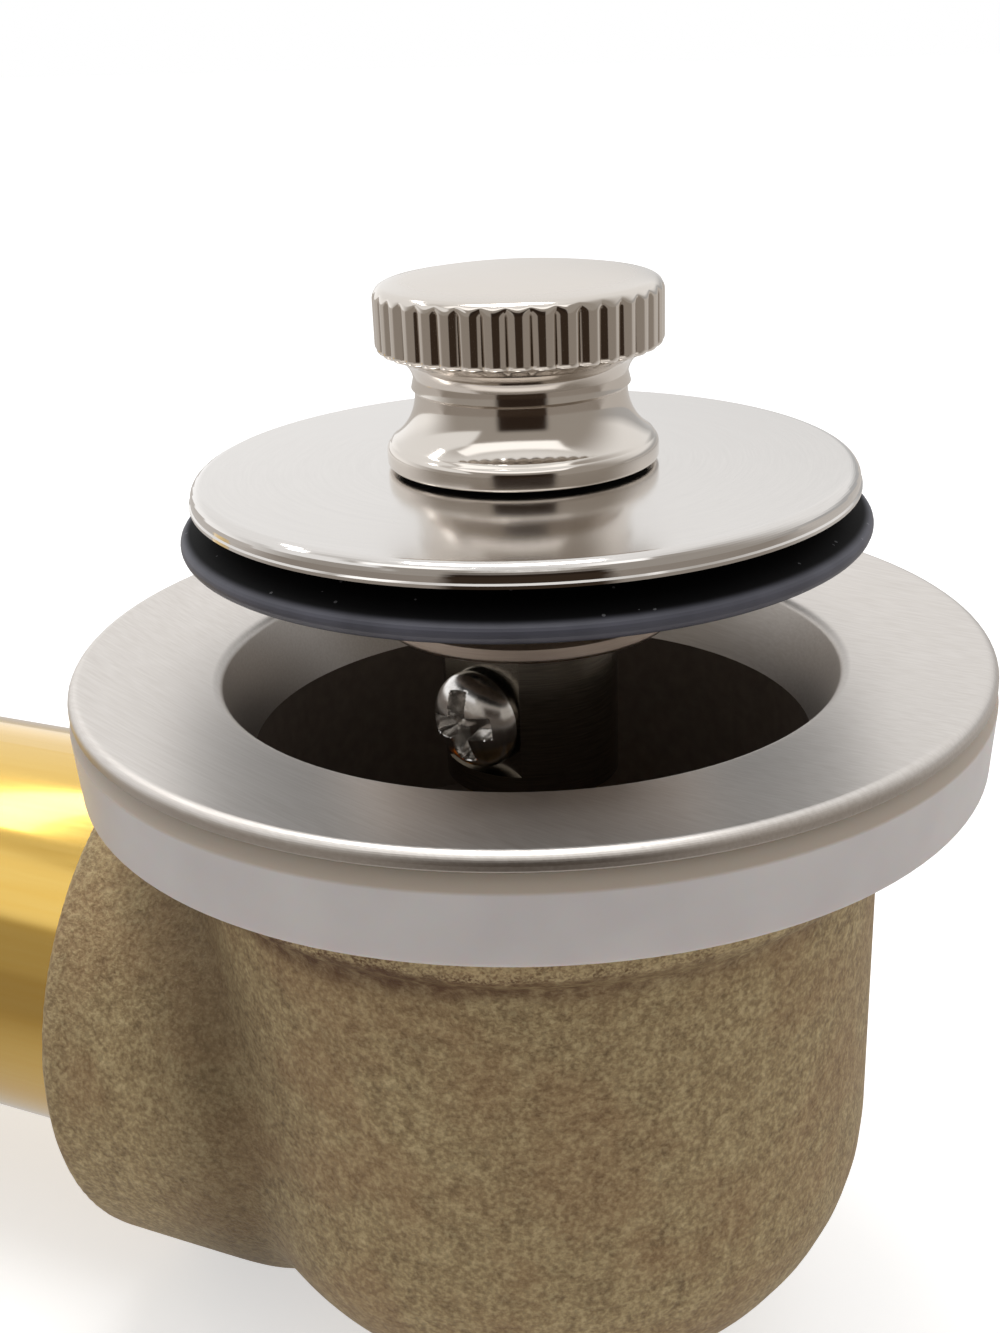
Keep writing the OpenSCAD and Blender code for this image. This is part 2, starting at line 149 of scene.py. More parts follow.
def specks(tree, place, apart_mm, share):
    """1 on scattered specks, 0 between. Specks stand apart_mm from each other, and the share is
    what part of them shows."""
    near = add(tree, "TexVoronoi", {"Vector": place, "Scale": 1 / (apart_mm * MM)})
    chance = add(tree, "SeparateColor", {"Color": near.node.outputs["Color"]})
    inside = add(tree, "Math", {0: near, 1: SPECK_REACH}, operation="LESS_THAN")
    lit = add(tree, "Math", {0: chance, 1: share}, operation="LESS_THAN")
    return add(tree, "Math", {0: inside, 1: lit}, operation="MULTIPLY")


def belt(tree, value, low, high, soft):
    """1 from low to high, falling smoothly to 0 over soft on both sides."""
    rise = add(tree, "MapRange", {"Value": value, "From Min": low - soft, "From Max": low},
               interpolation_type="SMOOTHSTEP")
    fall = add(tree, "MapRange", {"Value": value, "From Min": high, "From Max": high + soft},
               interpolation_type="SMOOTHSTEP")
    return add(tree, "Math", {0: rise, 1: fall}, operation="SUBTRACT")


# Materials, each named for what the real one is and how it was finished

# Real brush and turning lines are about 0.03 mm apart. These are drawn coarser, so that they show
PLATE_LINES_MM = 0.12
FLANGE_LINES_MM = 0.22
KNOB_LINES_MM = 0.3
RETAINER_LINES_MM = 0.15
SLEEVE_LINES_MM = 0.1
POST_LINES_MM = 0.12
TUBE_LINES_MM = 0.5

# The stopper's plate: where its polished edge begins, how wide the blend is, and its patterns
PLATE_EDGE_MM = 24.75
PLATE_BLEND_MM = 0.2
PLATE_CLOUD_MM = 11
EDGE_DENT_MM = 0.9


def brushed_nickel():
    """Nickel plate brushed round the axis: a warm pale grey whose reflections are drawn out across
    the brush lines, with a polished rounded edge that is faintly dented. Roughness is about 0.17,
    and 0.06 on the edge."""
    material, tree, shader, place = new_material("brushed_nickel")
    radius = axis_place(tree, place)[0]
    lines = turned_lines(tree, place, PLATE_LINES_MM)
    cloud = add(tree, "TexNoise", {"Vector": place, "Scale": 1 / (PLATE_CLOUD_MM * MM)})
    dents = add(tree, "TexNoise", {"Vector": place, "Scale": 1 / (EDGE_DENT_MM * MM)})
    tone = add(tree, "ValToRGB", {"Fac": lines}, stops=((0.3, "DAD6D2"), (0.7, "DEDAD6")))
    edge = add(tree, "MapRange", {"Value": radius, "From Min": PLATE_EDGE_MM * MM,
                                  "From Max": (PLATE_EDGE_MM + PLATE_BLEND_MM) * MM})
    rough = add(tree, "Math", {0: cloud, 1: 0.05, 2: 0.14}, operation="MULTIPLY_ADD")
    rough = add(tree, "Math", {0: edge, 1: -0.11, 2: rough}, operation="MULTIPLY_ADD")
    ring = add(tree, "Tangent", direction_type="RADIAL", axis="Z")
    hammered = add(tree, "Math", {0: edge, 1: dents}, operation="MULTIPLY")
    relief = add(tree, "Math", {0: hammered, 1: 6.0, 2: lines}, operation="MULTIPLY_ADD")
    marks = add(tree, "Bump", {"Height": relief, "Distance": 0.003 * MM, "Strength": 0.12})
    finish(tree, shader, Base_Color=tone, Metallic=1.0, Roughness=rough, Anisotropic=0.4,
           Tangent=ring, Normal=marks)
    return material


# The flange: the way its brush lines run, from X towards -Y, how much longer than wide they are,
# its patterns, and the radius and height within which the casting has no plate and its dark is
# partly painted shade
BRUSH_TURN = math.radians(-22)
BRUSH_STRETCH = 25.0
FLANGE_CLOUD_MM = 13
BARE_GRAIN_MM = 1.2
BARE_R_MM = 23.05
BARE_TOP_MM = -6.78


def flange_nickel():
    """Nickel plate on the flange, brushed in straight lines to a soft satin, and the bare dark
    barrel of the casting below the plated throat, dulled by sand and sealer and darkened further as
    painted shade of the unlit bore. Roughness is about 0.39 on the plate and 0.79 on the barrel."""
    material, tree, shader, place = new_material("flange_nickel")
    radius, height = axis_place(tree, place)[:2]
    along = add(tree, "Mapping", {"Vector": place, "Rotation": (0.0, 0.0, BRUSH_TURN),
                                  "Scale": (BRUSH_STRETCH, 1.0, 1.0)}, vector_type="TEXTURE")
    lines = add(tree, "TexNoise", {"Vector": along, "Scale": 1 / (FLANGE_LINES_MM * MM),
                                   "Detail": 3.0})
    cloud = add(tree, "TexNoise", {"Vector": place, "Scale": 1 / (FLANGE_CLOUD_MM * MM)})
    sand = add(tree, "TexNoise", {"Vector": place, "Scale": 1 / (BARE_GRAIN_MM * MM)})
    plated = add(tree, "ValToRGB", {"Fac": lines}, stops=((0.3, "D1CBC5"), (0.7, "DCD7D2")))
    # The barrel: the bare casting's own dark, deepened as painted shade of the unlit bore
    bare_and_shaded = add(tree, "ValToRGB", {"Fac": sand}, stops=((0.3, "6C6056"), (0.7, "766A60")))
    inside = add(tree, "Math", {0: radius, 1: BARE_R_MM * MM}, operation="LESS_THAN")
    deep = add(tree, "Math", {0: height, 1: BARE_TOP_MM * MM}, operation="LESS_THAN")
    deep = add(tree, "Math", {0: inside, 1: deep}, operation="MULTIPLY")
    tone = add(tree, "Mix", {"Factor": deep, "A": plated, "B": bare_and_shaded}, data_type="RGBA")
    metal = add(tree, "Math", {0: deep, 1: -0.8, 2: 1.0}, operation="MULTIPLY_ADD")
    rough = add(tree, "Math", {0: cloud, 1: 0.05, 2: 0.31}, operation="MULTIPLY_ADD")
    rough = add(tree, "Math", {0: lines, 1: 0.1, 2: rough}, operation="MULTIPLY_ADD")
    rough = add(tree, "Math", {0: deep, 1: 0.4, 2: rough}, operation="MULTIPLY_ADD")
    marks = add(tree, "Bump", {"Height": lines, "Distance": 0.004 * MM, "Strength": 0.3})
    brush = add(tree, "CombineXYZ", {"X": math.cos(BRUSH_TURN), "Y": math.sin(BRUSH_TURN)})
    finish(tree, shader, Base_Color=tone, Metallic=metal, Roughness=rough, Anisotropic=0.4,
           Tangent=brush, Normal=marks)
    return material


# The knob: how far below its top the satin of its dome begins and is full, and its patterns
knob_low, knob_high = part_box("knob")
SATIN_FROM_MM = knob_high[2] / MM - 1.2
SATIN_FULL_MM = knob_high[2] / MM - 0.85
KNOB_SMEAR_MM = 2.5
KNOB_PIT_MM = 0.5


def polished_nickel():
    """Nickel plate buffed to a mirror, warm grey, with a satin top on the knob's dome. Roughness
    is about 0.1, and 0.3 on the dome."""
    material, tree, shader, place = new_material("polished_nickel")
    height = axis_place(tree, place)[1]
    dome = add(tree, "MapRange", {"Value": height, "From Min": SATIN_FROM_MM * MM,
                                  "From Max": SATIN_FULL_MM * MM, "To Max": 0.2})
    smear = add(tree, "TexNoise", {"Vector": place, "Scale": 1 / (KNOB_SMEAR_MM * MM)})
    rough = add(tree, "Math", {0: smear, 1: 0.06, 2: 0.07}, operation="MULTIPLY_ADD")
    rough = add(tree, "Math", {0: rough, 1: dome}, operation="ADD")
    pits = add(tree, "TexNoise", {"Vector": place, "Scale": 1 / (KNOB_PIT_MM * MM)})
    lines = turned_lines(tree, place, KNOB_LINES_MM)
    ripple = add(tree, "Math", {0: pits, 1: lines}, operation="ADD")
    buffed = add(tree, "Bump", {"Height": ripple, "Distance": 0.004 * MM, "Strength": 0.25})
    finish(tree, shader, Base_Color=linear("D9D2CA"), Metallic=1.0, Roughness=rough, Normal=buffed)
    return material


def satin_nickel():
    """Nickel plate on the seal's retainer, not buffed: a soft brownish grey."""
    material, tree, shader, place = new_material("satin_nickel")
    lines = turned_lines(tree, place, RETAINER_LINES_MM)
    tone = add(tree, "ValToRGB", {"Fac": lines}, stops=((0.3, "DCCCC0"), (0.7, "E6D8CC")))
    marks = add(tree, "Bump", {"Height": lines, "Distance": 0.003 * MM, "Strength": 0.3})
    finish(tree, shader, Base_Color=tone, Metallic=1.0, Roughness=0.38, Normal=marks)
    return material


def dark_nickel():
    """Thin nickel on the sleeve's turned brass: brownish grey with turning marks, and about 0.2
    rough."""
    material, tree, shader, place = new_material("dark_nickel")
    lines = turned_lines(tree, place, SLEEVE_LINES_MM)
    tone = add(tree, "ValToRGB", {"Fac": lines}, stops=((0.3, "857F76"), (0.7, "A39C91")))
    rough = add(tree, "Math", {0: lines, 1: 0.12, 2: 0.14}, operation="MULTIPLY_ADD")
    marks = add(tree, "Bump", {"Height": lines, "Distance": 0.004 * MM, "Strength": 0.4})
    finish(tree, shader, Base_Color=tone, Metallic=1.0, Roughness=rough, Normal=marks)
    return material


# Size of the scuffs on the screw
SCUFF_MM = 0.6


def stainless():
    """Plain stainless steel of the guide screw, bright and slightly scuffed, and about 0.2
    rough."""
    material, tree, shader, place = new_material("stainless_screw")
    scuff = add(tree, "TexNoise", {"Vector": place, "Scale": 1 / (SCUFF_MM * MM), "Detail": 4.0})
    tone = add(tree, "ValToRGB", {"Fac": scuff}, stops=((0.3, "DAD7D3"), (0.7, "F2F0ED")))
    rough = add(tree, "Math", {0: scuff, 1: 0.15, 2: 0.14}, operation="MULTIPLY_ADD")
    dents = add(tree, "Bump", {"Height": scuff, "Distance": 0.015 * MM, "Strength": 0.4})
    finish(tree, shader, Base_Color=tone, Metallic=1.0, Roughness=rough, Normal=dents)
    return material


# Size of the tarnished patches on post and nut
TARNISH_MM = 2


def turned_brass():
    """Plain turned brass of the post and its nut, a little tarnished: yellow brown in soft
    patches, and about 0.3 rough."""
    material, tree, shader, place = new_material("turned_brass")
    lines = turned_lines(tree, place, POST_LINES_MM)
    patch = add(tree, "TexNoise", {"Vector": place, "Scale": 1 / (TARNISH_MM * MM), "Detail": 4.0})
    tone = add(tree, "ValToRGB", {"Fac": patch}, stops=((0.35, "B08C46"), (0.65, "D0AC60")))
    rough = add(tree, "Math", {0: lines, 1: 0.15, 2: 0.22}, operation="MULTIPLY_ADD")
    marks = add(tree, "Bump", {"Height": lines, "Distance": 0.005 * MM, "Strength": 0.4})
    finish(tree, shader, Base_Color=tone, Metallic=1.0, Roughness=rough, Normal=marks)
    return material


# The shoe's forms: the bead's lower and upper edge, the body, and the collar round the tube
BEAD_LOW_MM = -12.1
BEAD_HIGH_MM = -6.9
BEAD_R_MM = 31.0
BODY_R_MM = 28.3
COLLAR_R_MM = 26.0
COLLAR_DROP_MM = 35.9

# The casting's patterns: grain of the moulding sand, blotches, broad patches and the specks of the
# painted highlight
SAND_GRAIN_MM = 0.4
BLOTCH_MM = 1.3
PATCH_MM = 9
GLINT_SPECK_MM = 0.22

# Heights of the painted highlight on the bead and of the painted shadow under it: from, to and
# blend
BEAD_HIGHLIGHT_MM = (BEAD_LOW_MM + 1.0, BEAD_HIGH_MM, 0.6)
HOLLOW_MM = (BEAD_LOW_MM - 1.8, BEAD_LOW_MM + 0.7, 1.5)

# Where the painted shadows lie: the one under the bead within this radius, fading along X between
# two places, and the painted shade this far from the corner, growing along X between two places
BEAD_SHADOW_R_MM = 32
BEAD_SHADOW_FADE_MM = (4, 26)
CORNER_SHADE_REACH_MM = 9
CORNER_SHADE_GROW_MM = (-20, -3)


def cast_brass():
    """Sand-cast brass as it leaves the mould: a dull tan skin, blotched by the sand's grain, with a
    painted highlight of light specks along the bead, a painted reddish brown shadow in the hollow
    below it, and painted shade in the corner between the body and the collar. Oxide covers it, so
    it is only part metallic and about 0.55 rough."""
    material, tree, shader, place = new_material("sand_cast_brass")
    radius, height, x, y = axis_place(tree, place)
    grain = add(tree, "TexNoise", {"Vector": place, "Scale": 1 / (SAND_GRAIN_MM * MM),
                                   "Detail": 3.0, "Roughness": 0.6})
    mottle = add(tree, "TexNoise", {"Vector": place, "Scale": 1 / (BLOTCH_MM * MM),
                                    "Detail": 4.0, "Roughness": 0.65})
    patch = add(tree, "TexNoise", {"Vector": place, "Scale": 1 / (PATCH_MM * MM), "Detail": 2.0})
    broad = add(tree, "ValToRGB", {"Fac": mottle},
                stops=((0.32, "8A7454"), (0.5, "B09870"), (0.68, "D2BE92")))
    fine = add(tree, "ValToRGB", {"Fac": grain},
               stops=((0.36, "7E6A4A"), (0.5, "B49C72"), (0.64, "E0CEA0")))
    skin = add(tree, "Mix", {"Factor": 0.45, "A": broad, "B": fine}, data_type="RGBA")
    warm = add(tree, "MapRange", {"Value": patch, "From Min": 0.42, "From Max": 0.62,
                                  "To Max": 0.22}, interpolation_type="SMOOTHSTEP")
    skin = add(tree, "Mix", {"Factor": warm, "A": skin, "B": linear("9C6E4A")}, data_type="RGBA")
    ragged = add(tree, "Math", {0: patch, 1: 0.003, 2: -0.0022}, operation="MULTIPLY_ADD")
    ragged = add(tree, "Math", {0: mottle, 1: 0.0014, 2: ragged}, operation="MULTIPLY_ADD")
    uneven = add(tree, "Math", {0: height, 1: ragged}, operation="ADD")
    bead = belt(tree, uneven, *(length * MM for length in BEAD_HIGHLIGHT_MM))
    hollow = belt(tree, uneven, *(length * MM for length in HOLLOW_MM))
    # Painted shadow: reddish brown in the hollow under the bead, blotched, and fading towards +X
    body = add(tree, "Math", {0: radius, 1: BEAD_SHADOW_R_MM * MM}, operation="LESS_THAN")
    bead_shadow = add(tree, "MapRange", {"Value": mottle, "From Min": 0.4, "From Max": 0.62,
                                   "To Min": 0.9, "To Max": 0.5})
    faded = add(tree, "MapRange", {"Value": x, "From Min": BEAD_SHADOW_FADE_MM[0] * MM,
                                   "From Max": BEAD_SHADOW_FADE_MM[1] * MM,
                                   "To Min": 1.0, "To Max": 0.3})
    bead_shadow = add(tree, "Math", {0: bead_shadow, 1: body}, operation="MULTIPLY")
    bead_shadow = add(tree, "Math", {0: bead_shadow, 1: faded}, operation="MULTIPLY")
    bead_shadow = add(tree, "Math", {0: bead_shadow, 1: hollow}, operation="MULTIPLY")
    skin = add(tree, "Mix", {"Factor": bead_shadow, "A": skin, "B": linear("5E3A20")}, data_type="RGBA")
    # Painted highlight: light specks on the bead, where its rounded edge catches the light
    dust_and_glints = add(tree, "TexNoise", {"Vector": place, "Scale": 1 / (GLINT_SPECK_MM * MM), "Detail": 2.0})
    bead_glints = add(tree, "MapRange", {"Value": dust_and_glints, "From Min": 0.42, "From Max": 0.6,
                                    "To Max": 0.6})
    bead_glints = add(tree, "Math", {0: bead_glints, 1: bead}, operation="MULTIPLY")
    skin = add(tree, "Mix", {"Factor": bead_glints, "A": skin, "B": linear("DCC698")}, data_type="RGBA")
    # Painted shade: darker in the corner between the body and the collar, growing towards the tube
    level = add(tree, "Math", {0: height, 1: COLLAR_DROP_MM * MM}, operation="ADD")
    level = add(tree, "CombineXYZ", {"X": y, "Y": level})
    level = add(tree, "VectorMath", {0: level}, operation="LENGTH")
    from_collar = add(tree, "Math", {0: level, 1: COLLAR_R_MM * MM}, operation="SUBTRACT")
    from_body = add(tree, "Math", {0: radius, 1: BODY_R_MM * MM}, operation="SUBTRACT")
    corner = add(tree, "CombineXYZ", {"X": from_collar, "Y": from_body})
    corner = add(tree, "VectorMath", {0: corner}, operation="LENGTH")
    corner_shade = add(tree, "MapRange", {"Value": corner, "From Min": 0.0,
                                   "From Max": CORNER_SHADE_REACH_MM * MM,
                                   "To Min": 0.6, "To Max": 0.0},
                interpolation_type="SMOOTHSTEP")
    shut_in = add(tree, "MapRange", {"Value": x, "From Min": CORNER_SHADE_GROW_MM[0] * MM,
                                     "From Max": CORNER_SHADE_GROW_MM[1] * MM,
                                     "To Min": 1.0, "To Max": 0.0},
                  interpolation_type="SMOOTHSTEP")
    corner_shade = add(tree, "Math", {0: corner_shade, 1: shut_in}, operation="MULTIPLY")
    skin = add(tree, "Mix", {"Factor": corner_shade, "A": skin, "B": linear("5A4A34")}, data_type="RGBA")
    rough = add(tree, "Math", {0: grain, 1: 0.2, 2: 0.45}, operation="MULTIPLY_ADD")
    relief = add(tree, "Math", {0: mottle, 1: 1.5, 2: grain}, operation="MULTIPLY_ADD")
    sandy = add(tree, "Bump", {"Height": relief, "Distance": 0.2 * MM, "Strength": 0.7})
    finish(tree, shader, Base_Color=skin, Metallic=0.4, Roughness=rough, Normal=sandy)
    return material


# The tube: its streaks' width as a share of their length, and its soft clouds
STREAK_SQUEEZE = 0.03
TUBE_CLOUD_MM = 3


def polished_brass():
    """Drawn brass tube, polished along its length and lacquered: a strong yellow with long soft
    streaks, paler where the lacquer is seen edge on. Roughness is about 0.14, and 0.05 on the
    lacquer."""
    material, tree, shader, place = new_material("polished_brass_tube")
    along = add(tree, "Mapping", {"Vector": place, "Scale": (STREAK_SQUEEZE, 1.0, 1.0)})
    streak = add(tree, "TexNoise", {"Vector": along, "Scale": 1 / (TUBE_LINES_MM * MM),
                                    "Detail": 4.0})
    broad = add(tree, "TexNoise", {"Vector": along, "Scale": 1 / (TUBE_CLOUD_MM * MM)})
    both = add(tree, "Math", {0: streak, 1: broad}, operation="ADD")
    both = add(tree, "Math", {0: both, 1: 0.5}, operation="MULTIPLY")
    tone = add(tree, "ValToRGB", {"Fac": both}, stops=((0.3, "E8BC54"), (0.7, "ECC668")))
    rough = add(tree, "Math", {0: streak, 1: 0.08, 2: 0.1}, operation="MULTIPLY_ADD")
    drawn = add(tree, "Bump", {"Height": streak, "Distance": 0.004 * MM, "Strength": 0.2})
    finish(tree, shader, Base_Color=tone, Metallic=1.0, Roughness=rough, Normal=drawn,
           Coat_Weight=0.8, Coat_Roughness=0.05)
    return material


# The washer: the heights between which the painted shade on its cut bevel begins, and its patterns
BEVEL_SHADE_FROM_MM = (-1.5, -1.25)
WASHER_CLOUD_MM = 7
WASHER_RIPPLE_MM = 0.9


def milky_plastic():
    """Moulded polyethylene washer: milky white, a little see-through and slightly waxy, with a
    darker warm painted shade on the cut bevel at its top, under the flange."""
    material, tree, shader, place = new_material("milky_polyethylene")
    height = axis_place(tree, place)[1]
    cloud = add(tree, "TexNoise", {"Vector": place, "Scale": 1 / (WASHER_CLOUD_MM * MM)})
    body = add(tree, "ValToRGB", {"Fac": cloud}, stops=((0.3, "D4CDCB"), (0.7, "DCD6D3")))
    # Painted shade on the bevel under the flange's rim, a darker warm tone
    bevel_shade = add(tree, "MapRange", {"Value": height, "From Min": BEVEL_SHADE_FROM_MM[0] * MM,
                                 "From Max": BEVEL_SHADE_FROM_MM[1] * MM})
    body = add(tree, "Mix", {"Factor": bevel_shade, "A": body, "B": linear("C2B5A6")}, data_type="RGBA")
    ripple = add(tree, "TexNoise", {"Vector": place, "Scale": 1 / (WASHER_RIPPLE_MM * MM)})
    waxy = add(tree, "Bump", {"Height": ripple, "Distance": 0.02 * MM, "Strength": 0.2})
    finish(tree, shader, Base_Color=body, Roughness=0.36, Subsurface_Weight=0.25,
           Subsurface_Scale=0.002, Specular_IOR_Level=0.4, IOR=1.51, Normal=waxy)
    return material


# The rubber: the radii between which the seal's lip and its painted sheen begin, its patterns, and
# its dust. Its real pores, about 0.05 mm, are drawn coarser, so that they show
LIP_FROM_MM = (25.85, 26.65)
RUBBER_CLOUD_MM = 4
PORE_MM = 0.35
DUST_APART_MM = 0.3
DUST_SHARE = 0.008


def black_rubber():
    """Moulded black rubber: dull and deep black, with a soft bluish grey painted sheen on the
    seal's lip and a little white dust. Roughness is 0.72, and 0.46 on the lip."""
    material, tree, shader, place = new_material("black_rubber")
    radius = axis_place(tree, place)[0]
    lip = add(tree, "MapRange", {"Value": radius, "From Min": LIP_FROM_MM[0] * MM,
                                 "From Max": LIP_FROM_MM[1] * MM},
              interpolation_type="SMOOTHSTEP")
    cloud = add(tree, "TexNoise", {"Vector": place, "Scale": 1 / (RUBBER_CLOUD_MM * MM)})
    deep = add(tree, "ValToRGB", {"Fac": cloud}, stops=((0.3, "040405"), (0.7, "070708")))
    # Painted sheen: a bluish grey colour on the lip, which stands in for its reflection
    painted_lip_sheen = add(tree, "ValToRGB", {"Fac": cloud}, stops=((0.3, "44444E"), (0.7, "53535E")))
    skin = add(tree, "Mix", {"Factor": lip, "A": deep, "B": painted_lip_sheen}, data_type="RGBA")
    dust_and_glints = specks(tree, place, DUST_APART_MM, DUST_SHARE)
    dust_and_glints = add(tree, "Math", {0: dust_and_glints, 1: 0.22}, operation="MULTIPLY")
    skin = add(tree, "Mix", {"Factor": dust_and_glints, "A": skin, "B": linear("B4B4B8")}, data_type="RGBA")
    rough = add(tree, "Math", {0: lip, 1: -0.26, 2: 0.72}, operation="MULTIPLY_ADD")
    pores = add(tree, "TexNoise", {"Vector": place, "Scale": 1 / (PORE_MM * MM)})
    moulded = add(tree, "Bump", {"Height": pores, "Distance": 0.01 * MM, "Strength": 0.25})
    gloss = add(tree, "Math", {0: lip, 1: 0.4, 2: 0.1}, operation="MULTIPLY_ADD")
    finish(tree, shader, Base_Color=skin, Roughness=rough, Specular_IOR_Level=gloss,
           Normal=moulded)
    return material


# Size of the oiled patches on the steel
OIL_PATCH_MM = 1


def spring_steel():
    """Plain steel of the lock washer and stud, grey and faintly oiled, and about 0.3 rough."""
    material, tree, shader, place = new_material("spring_steel")
    patch = add(tree, "TexNoise", {"Vector": place, "Scale": 1 / (OIL_PATCH_MM * MM),
                                   "Detail": 3.0})
    tone = add(tree, "ValToRGB", {"Fac": patch}, stops=((0.3, "8F9092"), (0.7, "ABACAE")))
    rough = add(tree, "Math", {0: patch, 1: 0.15, 2: 0.25}, operation="MULTIPLY_ADD")
    finish(tree, shader, Base_Color=tone, Metallic=1.0, Roughness=rough)
    return material


def set_all(material, *names):
    """Puts one material on CAD nodes."""
    for name in names:
        node = nodes[name]
        node.data.materials.clear()
        node.data.materials.append(material)


set_all(flange_nickel(), "strainer_body")
set_all(brushed_nickel(), "stopper_plate")
set_all(polished_nickel(), "knob")
set_all(satin_nickel(), "seal_retainer")
set_all(dark_nickel(), "sleeve")
set_all(stainless(), "guide_screw")
set_all(turned_brass(), "post", "post_nut")
set_all(cast_brass(), "shoe")
set_all(polished_brass(), "waste_tube")
set_all(milky_plastic(), "bath_washer")
set_all(black_rubber(), "stopper_seal", "glide_ring", "knob_gasket_ring")
set_all(spring_steel(), "lock_washer", "knob_stud")


# The shoe's casting, whose collar runs into its body with a soft fillet

# Spacing of the new grid, how far the softening reaches from the corner and from the bead's foot,
# over what length along X it grows, how far inside the bead's radius the foot lies, how often the
# soft places and the whole skin are smoothed, and how many grades of softness there are
CAST_GRID_MM = 0.6
CORNER_REACH_MM = 4.0
FOOT_REACH_MM = 1.6
CORNER_GROW_MM = 12
FOOT_IN_MM = 1.4
SOFT_ROUNDS = 60
SKIN_ROUNDS = 2
GRADES = 10


def settle(piece):
    """Applies a piece's modifiers to its mesh and takes them off."""
    graph = bpy.context.evaluated_depsgraph_get()
    mesh = bpy.data.meshes.new_from_object(piece.evaluated_get(graph))
    piece.modifiers.clear()
    piece.data = mesh


def soft_casting():
    """The shoe as sand casting leaves it. The CAD solid's surface is drawn again on a fine grid,
    and each vertex is then smoothed by a share that is exp(-(d / reach) ^ 2), where d is its
    distance from the corner between body and collar, and by half as much at the foot of the bead.
    The corner's share grows from nothing at the drain's axis to the full one 12 mm towards the
    tube. Vertex groups hold the shares in ten grades, and at last the whole skin is eased a
    little."""
    mesh = nodes["shoe"].data.copy()
    mesh.name = "shoe_casting"
    merged = bmesh.new()
    merged.from_mesh(mesh)
    bmesh.ops.remove_doubles(merged, verts=merged.verts, dist=1e-7)
    merged.to_mesh(mesh)
    merged.free()
    piece = bpy.data.objects.new("shoe_casting", mesh)
    bpy.context.scene.collection.objects.link(piece)
    grid = piece.modifiers.new("grid", "REMESH")
    grid.mode = "VOXEL"
    grid.voxel_size = CAST_GRID_MM * MM
    grid.use_smooth_shade = True
    settle(piece)
    count = len(piece.data.vertices)
    flat = np.empty(count * 3)
    piece.data.vertices.foreach_get("co", flat)
    x, y, z = flat.reshape(-1, 3).T / MM
    body_r = np.hypot(x, y)
    collar_r = np.hypot(y, z + COLLAR_DROP_MM)
    corner = np.hypot(body_r - BODY_R_MM, collar_r - COLLAR_R_MM)
    foot = np.hypot(body_r - BEAD_R_MM + FOOT_IN_MM, z - BEAD_LOW_MM)
    share = np.exp(-(corner / CORNER_REACH_MM) ** 2) * np.clip(-x / CORNER_GROW_MM, 0, 1)
    share = share + 0.5 * np.exp(-(foot / FOOT_REACH_MM) ** 2)
    group = piece.vertex_groups.new(name="soft")
    for level in range(1, GRADES + 1):
        members = np.nonzero(np.round(np.clip(share, 0, 1) * GRADES) == level)[0]
        group.add(members.tolist(), level / GRADES, "REPLACE")
    ease = piece.modifiers.new("ease", "SMOOTH")
    ease.factor = 0.5
    ease.iterations = SOFT_ROUNDS
    ease.vertex_group = group.name
    skin = piece.modifiers.new("skin", "SMOOTH")
    skin.factor = 0.5
    skin.iterations = SKIN_ROUNDS
    settle(piece)
    piece.vertex_groups.clear()
    piece.data.materials.clear()
    piece.data.materials.append(nodes["shoe"].data.materials[0])
    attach(piece, "drain")
    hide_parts("shoe")


soft_casting()


# The knob, whose flutes run out softly under its dome

# Radii of the fluted band, of the round crest between two flutes, of the neck at its narrowest
# and of the stud's hole
KNOB_R_MM = 10.9
CREST_R_MM = 1.1
NECK_R_MM = 8.1
STUD_HOLE_MM = 2.55

# The foot's edge and the bead over it, each a rounding: how far its middle stands out from the
# neck, its height and its radius
FOOT_ROUND_MM = (2.0, 0.35, 0.35)
BEAD_ROUND_MM = (1.55, 1.1, 0.8)

# Heights above the foot: the cove's waist, the step above it, the band's lower and upper edge, and
# the top
WAIST_MM = 5.5
STEP_MM = 5.6
BAND_MM = 8.65
EDGE_MM = 12.6
TOP_MM = 14.5

# Width and height of the cove, how far the step stands out, the height over the step and the
# radius of the flare, the roundings of the band's lower edge and of the dome's rim, and how the
# flutes run out above the band's upper edge: where they end and over what height
COVE_MM = (1.95, 3.6)
STEP_OUT_MM = 0.25
FLARE_MM = (0.7, 2.15)
BAND_ROUND_MM = 0.6
RIM_ROUND_MM = 1.0
RUN_OUT_MM = (0.75, 0.9)

FLUTES = 38
COLUMNS_A_FLUTE = 16

# Faces that meet at a larger angle than this keep a hard edge
SHARP_DEG = 38


def arc(across, up, radius, start, end, count):
    """Points of a profile on a circle round (across, up), from one angle to the other."""
    angle = np.radians(np.linspace(start, end, count))
    return np.column_stack((across + radius * np.cos(angle), up + radius * np.sin(angle)))


